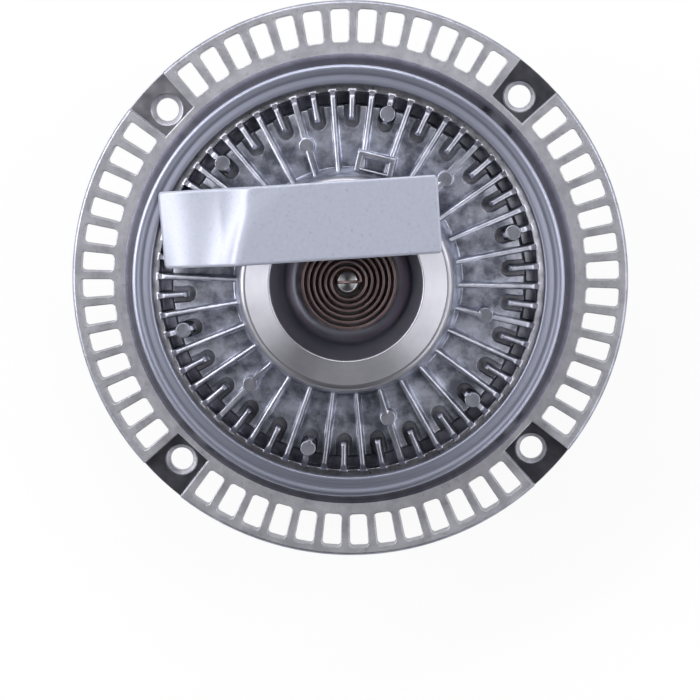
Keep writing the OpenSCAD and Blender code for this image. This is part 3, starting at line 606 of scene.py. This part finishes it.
def make_cover():
    materials = ("cast_aluminium", "turned_aluminium", "hub_edge_painted_shade", "cast_edges_painted_light", "cast_recess_painted_shade",
                 "cast_pocket_painted_shade", "cast_ledge_painted_shade", "well_floor_painted_shade", "well_wall")

    def choose(r, z, up):
        if WELL_R - FLOOR_BAND < r < HUB_R and z > HUB_Z - HUB_BAND:
            # The hub's rounded edge gets painted shade
            return "turned_aluminium" if z > HUB_Z - WELD else "hub_edge_painted_shade"
        if r < WELL_R and z > WELL_Z - FLOOR_BAND:
            # The well's floor under the coil gets painted shade
            return "well_floor_painted_shade" if r < WELL_FLOOR_R and z < WELL_Z + FLOOR_BAND else "well_wall"
        # Fin tops get the copy of the cast skin with painted light
        if r > HUB_R and up > LEVEL and z > fin_top(r) - FLOOR_BAND:
            return "cast_edges_painted_light"
        # The ledge under the lip gets painted shade
        if r > LEDGE_R:
            return "cast_ledge_painted_shade"
        # Floors of the pockets and of the low floor between the fins get painted shade
        if HUB_R < r < LEDGE_R and up > LEVEL and z < ROOF_Z - FLOOR_BAND:
            return "cast_pocket_painted_shade" if z > POCKET_Z - FLOOR_BAND else "cast_recess_painted_shade"
        return "cast_aluminium"

    finish_casting(softened("front_cover", "cover_casting"), "front_cover", materials, choose)


def rim_outline():
    """Rolled rim in r and z, with its corners cut.

    It runs from under the fan ring over the bead to the lip's inner edge.
    """
    points = [
        (RIM_FOOT_R + RIM_FOOT_OUT, RING_Z - RIM_FOOT_LOW),
        (RIM_FOOT_R + RIM_FOOT_LOW, RING_Z + RIM_FOOT_LOW / 2),
        (WALL_TOP_R, WALL_TOP_Z),
    ]
    for deg in BEAD_DEG:
        a = radians(deg)
        points.append((BEAD_R + BEAD_ROUND * cos(a), BEAD_Z + BEAD_ROUND * sin(a)))
    points += [
        (GROOVE_FOOT_R, GROOVE_Z),
        (LIP_OUT_R, LIP_Z),
        (LIP_IN_R + LIP_EDGE, LIP_Z),
        (LIP_IN_R, LIP_Z - LIP_EDGE),
        (LIP_IN_R, LIP_LOW_Z),
    ]
    for _ in range(RIM_CUTS):
        cut = [points[0]]
        for (ra, za), (rb, zb) in zip(points, points[1:]):
            cut += [((3 * ra + rb) / 4, (3 * za + zb) / 4), ((ra + 3 * rb) / 4, (za + 3 * zb) / 4)]
        points = cut + [points[-1]]
    return points


def smooth_rim(body):
    """Puts an even ring of faces in the place of the rolled rim's own faces."""
    bm = bmesh.new()
    bm.from_mesh(body.data)
    old = []
    for face in bm.faces:
        r = sum(hypot(vert.co.x, vert.co.y) for vert in face.verts) / len(face.verts)
        z = sum(vert.co.z for vert in face.verts) / len(face.verts)
        on_wall = BEAD_R - BEAD_ROUND / 2 < r < RIM_FOOT_R + RIM_FOOT_OUT and z > RING_Z + WELD
        if on_wall or (r < BEAD_R and z > LIP_LOW_Z + RIM_FOOT_LOW):
            old.append(face)
    bmesh.ops.delete(bm, geom=old, context="FACES")
    outline = rim_outline()
    rings = []
    for i in range(RIM_STEPS):
        a = radians(360 * i / RIM_STEPS)
        rings.append([bm.verts.new((r * cos(a), r * sin(a), z)) for r, z in outline])
    for i, ring in enumerate(rings):
        after = rings[(i + 1) % RIM_STEPS]
        for k in range(len(outline) - 1):
            bm.faces.new((ring[k], after[k], after[k + 1], ring[k + 1])).smooth = True
    bm.to_mesh(body.data)
    bm.free()


def make_body():
    materials = ("ring_aluminium", "rolled_aluminium", "pad_painted_light_and_shade", "rim_wall_painted_shade", "cast_edges_painted_light")

    def choose(r, z, up):
        if z > RIM_Z and up > -LEVEL and r < RIM_R:
            return "rolled_aluminium"
        if RIM_R < r < RIM_FOOT_R + RIM_FOOT_OUT and z > RING_Z - RIM_FOOT_LOW and up < FLAT_UP:
            # The rim's outer wall gets painted shade
            return "rim_wall_painted_shade"
        if r > RIM_FOOT_R and z < RING_Z - FLOOR_BAND and up > LEVEL:
            # The bolt pads get painted light and shade
            return "pad_painted_light_and_shade"
        # The fan ring's outer edge gets the copy of the cast skin with painted light
        if r > RING_R - RING_EDGE and 1 - LEVEL < up < FLAT_UP:
            return "cast_edges_painted_light"
        return "ring_aluminium"

    body = softened("rear_body", "body_casting")
    smooth_rim(body)
    finish_casting(body, "rear_body", materials, choose)


def bend(corner, before, after, r):
    """Points of a round corner between the directions before and after it."""
    back, ahead = -before.normalized(), after.normalized()
    half = back.angle(ahead) / 2
    centre = corner + (back + ahead).normalized() * (r / sin(half))
    first = corner + back * (r / tan(half)) - centre
    last = corner + ahead * (r / tan(half)) - centre
    return [centre + first.slerp(last, i / BEND_STEPS) * r for i in range(BEND_STEPS + 1)]


def coil_path():
    """Middle line of the bimetal strip, from the spindle's slot out to the post."""

    def spiral(deg):
        r = COIL_IN_R + COIL_PITCH * deg / 360
        return Vector((r * cos(radians(deg)), r * sin(radians(deg)), 0))

    turns = [spiral(COIL_LEAD_DEG + i * COIL_STEP_DEG)
             for i in range(int((COIL_END_DEG - 2 * COIL_LEAD_DEG) / COIL_STEP_DEG) + 1)]
    inner, outer = spiral(0), spiral(COIL_END_DEG)
    tang = Vector((-COIL_TANG, 0, 0))
    tail = outer + outer.normalized() * COIL_TAIL
    first_bend = bend(inner, inner - tang, turns[0] - inner, COIL_BEND_R)
    last_bend = bend(outer, outer - turns[-1], tail - outer, COIL_BEND_R)
    return [tang] + first_bend + turns + last_bend + [tail]


def make_coil():
    path = coil_path()
    half_t, half_w, soft = COIL_T / 2, (COIL_TOP_Z - COIL_LOW_Z) / 2, COIL_EDGE
    corner = [(half_t, half_w - soft), (half_t - soft, half_w)]
    section = [
        (half_t, soft - half_w), *corner, *[(-a, b) for a, b in reversed(corner)],
        (-half_t, soft - half_w), (soft - half_t, -half_w), (half_t - soft, -half_w),
    ]
    middle_z = (COIL_TOP_Z + COIL_LOW_Z) / 2
    bm = bmesh.new()
    lengths = [0.0]
    rings = []
    for i, point in enumerate(path):
        ahead = (path[min(i + 1, len(path) - 1)] - path[max(i - 1, 0)]).normalized()
        side = Vector((ahead.y, -ahead.x, 0))
        rings.append([bm.verts.new(point + side * a + Vector((0, 0, middle_z + b))) for a, b in section])
        if i:
            lengths.append(lengths[-1] + (point - path[i - 1]).length)
    count = len(section)
    for low, high in zip(rings, rings[1:]):
        for k in range(count):
            bm.faces.new((low[k], low[(k + 1) % count], high[(k + 1) % count], high[k])).smooth = True
    bm.faces.new(rings[0])
    bm.faces.new(reversed(rings[-1]))
    bmesh.ops.recalc_face_normals(bm, faces=bm.faces)
    coil = new_piece("coil_strip", bm, ("bimetal",))
    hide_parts("bimetal_coil")
    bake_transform(coil)
    normals = coil.modifiers.new("flat_faces", "WEIGHTED_NORMAL")
    normals.keep_sharp = False


def label_line(total, y):
    """Places in x and z along the label's underside at y.

    The film is level on the hub, bends at the fold, and then hangs in a shallow S.
    """
    fold = LABEL_FOLD_X - LABEL_FOLD_SLANT * (y - LABEL_LOW_Y - LABEL_W / 2)
    slope = atan2(LABEL_Z - LABEL_END_Z, LABEL_LEFT - fold)
    curl = radians(LABEL_CURL_DEG)
    bend_start = LABEL_RIGHT + fold - LABEL_BEND_R * tan((slope + curl) / 2)
    bend_end = bend_start + LABEL_BEND_R * (slope + curl)
    step = total / LABEL_STEPS
    x, z = LABEL_RIGHT, LABEL_Z
    places = [(x, z)]
    for i in range(LABEL_STEPS):
        length = (i + 0.5) * step
        if length < bend_end:
            tilt = max(0.0, length - bend_start) / LABEL_BEND_R
        else:
            tilt = slope + curl * cos(radians(360) * (length - bend_end) / (total - bend_end))
        x -= step * cos(tilt)
        z -= step * sin(tilt)
        places.append((x, z))
    return places


def label_slack(x, y):
    """Sag of the film beside the hub, and small waves of its free end."""
    beside = min(1.0, max(0.0, (hypot(x, y) - HUB_R) / LABEL_SAG_RUN)) if x < 0 else 0.0
    soft = beside * beside * (3 - 2 * beside)
    free = min(1.0, max(0.0, -LABEL_FOLD_X - x) / LABEL_SAG_RUN)
    along, across = x / LABEL_WAVE + LABEL_WAVE_START, y / LABEL_WAVE * LABEL_WAVE_ACROSS
    wave = LABEL_WAVE_H * sin(along) * cos(across)
    return free * wave - (1 - free) * LABEL_SAG * soft


def make_label():
    end_slope = atan2(LABEL_Z - LABEL_END_Z, LABEL_LEFT - LABEL_FOLD_X)
    reach = LABEL_BEND_R * tan(end_slope / 2)
    total = (LABEL_RIGHT + LABEL_FOLD_X - 2 * reach + LABEL_BEND_R * end_slope
             + hypot(LABEL_Z - LABEL_END_Z, LABEL_LEFT - LABEL_FOLD_X))
    turn = Matrix.Rotation(radians(LABEL_TURN_DEG), 3, "Z")
    lines = [label_line(total, LABEL_LOW_Y + LABEL_W * k / LABEL_ROWS) for k in range(LABEL_ROWS + 1)]
    bm = bmesh.new()
    rows = []
    for i in range(LABEL_STEPS + 1):
        length = total * i / LABEL_STEPS
        end = max(0.0, LABEL_CORNER - min(length, total - length))
        inset = LABEL_CORNER - (LABEL_CORNER ** 2 - end ** 2) ** 0.5
        row = []
        for k, line in enumerate(lines):
            y = LABEL_LOW_Y + inset + (LABEL_W - 2 * inset) * k / LABEL_ROWS
            x, z = line[i]
            row.append(bm.verts.new(turn @ Vector((x, y, z + LABEL_T / 2 + label_slack(x, y)))))
        rows.append(row)
    for low, high in zip(rows, rows[1:]):
        for k in range(LABEL_ROWS):
            bm.faces.new((low[k], high[k], high[k + 1], low[k + 1])).smooth = True
    bmesh.ops.recalc_face_normals(bm, faces=bm.faces)
    label = new_piece("label_sheet", bm, ("label_film",))
    thick = label.modifiers.new("thickness", "SOLIDIFY")
    thick.thickness = LABEL_T
    thick.offset = 0
    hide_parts("label")
    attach(label, "housing")


def make_camera():
    right = Vector((cos(radians(ROLL_DEG)), -sin(radians(ROLL_DEG)), 0))
    up = Vector((sin(radians(ROLL_DEG)), cos(radians(ROLL_DEG)), 0))
    back = (right * LEAN_RIGHT + up * LEAN_UP + Vector((0, 0, 1))).normalized()
    side = (right - back * right.dot(back)).normalized()
    top = back.cross(side)
    data = bpy.data.cameras.new("camera")
    data.sensor_width = SENSOR_MM
    data.sensor_fit = "HORIZONTAL"
    data.lens = SENSOR_MM * RING_RADIUS_PX / IMAGE_SIZE * CAMERA_DISTANCE / RING_R
    data.shift_x = (IMAGE_SIZE / 2 - RING_CENTRE_PX[0]) / IMAGE_SIZE
    data.shift_y = (RING_CENTRE_PX[1] - IMAGE_SIZE / 2) / IMAGE_SIZE
    camera = bpy.data.objects.new("camera", data)
    place = Vector((0, 0, RING_Z)) + back * CAMERA_DISTANCE
    camera.matrix_world = Matrix.Translation(place) @ Matrix((side, top, back)).transposed().to_4x4()
    bpy.context.scene.collection.objects.link(camera)
    bpy.context.scene.camera = camera


def make_floor():
    """Floor that looks nearly plain white, in reflections too, with a faint shadow of the part."""
    bm = bmesh.new()
    bmesh.ops.create_circle(bm, cap_ends=True, radius=FLOOR_R, segments=FLOOR_SIDES)
    mesh = bpy.data.meshes.new("floor")
    bm.to_mesh(mesh)
    bm.free()
    floor = bpy.data.objects.new("floor", mesh)
    floor.location.z = -FLOOR_GAP
    bpy.context.scene.collection.objects.link(floor)
    material = bpy.data.materials.new("floor")
    material.use_nodes = True
    nodes, links = material.node_tree.nodes, material.node_tree.links
    nodes.clear()
    paint = nodes.new("ShaderNodeBsdfDiffuse")
    paint.inputs["Color"].default_value = (FLOOR_GREY, FLOOR_GREY, FLOOR_GREY, 1)
    glow = nodes.new("ShaderNodeEmission")
    glow.inputs["Color"].default_value = (*WHITE, 1)
    path = nodes.new("ShaderNodeLightPath")
    seen = path.outputs["Is Camera Ray"]
    for other in ("Is Glossy Ray", "Is Transmission Ray"):
        largest = nodes.new("ShaderNodeMath")
        largest.operation = "MAXIMUM"
        links.new(seen, largest.inputs[0])
        links.new(path.outputs[other], largest.inputs[1])
        seen = largest.outputs[0]
    share = nodes.new("ShaderNodeMath")
    share.operation = "MULTIPLY"
    share.inputs[1].default_value = FLOOR_WHITE_SHARE
    links.new(seen, share.inputs[0])
    mix = nodes.new("ShaderNodeMixShader")
    links.new(share.outputs[0], mix.inputs["Fac"])
    links.new(paint.outputs[0], mix.inputs[1])
    links.new(glow.outputs[0], mix.inputs[2])
    out = nodes.new("ShaderNodeOutputMaterial")
    links.new(mix.outputs[0], out.inputs["Surface"])
    mesh.materials.append(material)


def make_world():
    """Dim studio, pale only where it meets the floor."""
    world = bpy.data.worlds.new("studio")
    bpy.context.scene.world = world
    world.use_nodes = True
    nodes, links = world.node_tree.nodes, world.node_tree.links
    place = nodes.new("ShaderNodeTexCoord")
    axes = nodes.new("ShaderNodeSeparateXYZ")
    links.new(place.outputs["Generated"], axes.inputs[0])
    ramp = nodes.new("ShaderNodeValToRGB")
    elements = ramp.color_ramp.elements
    elements.new(0.5)
    for element, (position, grey) in zip(elements, WORLD_STOPS):
        element.position = position
        element.color = (grey, grey, grey * WORLD_BLUE, 1)
    links.new(axes.outputs["Z"], ramp.inputs["Fac"])
    links.new(ramp.outputs["Color"], nodes["Background"].inputs["Color"])


def make_lights():
    for name, (around, up, size, power) in SOFT_BOXES.items():
        away = Vector((cos(radians(up)) * cos(radians(around)), cos(radians(up)) * sin(radians(around)),
                       sin(radians(up))))
        data = bpy.data.lights.new(name, "AREA")
        data.shape = "RECTANGLE"
        data.size, data.size_y = size
        data.energy = power
        light = bpy.data.objects.new(name, data)
        light.location = Vector((0, 0, RING_Z)) + away * LIGHT_DISTANCE
        light.rotation_euler = (-away).to_track_quat("-Z", "Y").to_euler()
        bpy.context.scene.collection.objects.link(light)


dress_cad_nodes()
make_cover()
make_body()
make_coil()
make_label()
make_camera()
make_floor()
make_world()
make_lights()

bpy.context.scene.view_settings.view_transform = "Standard"
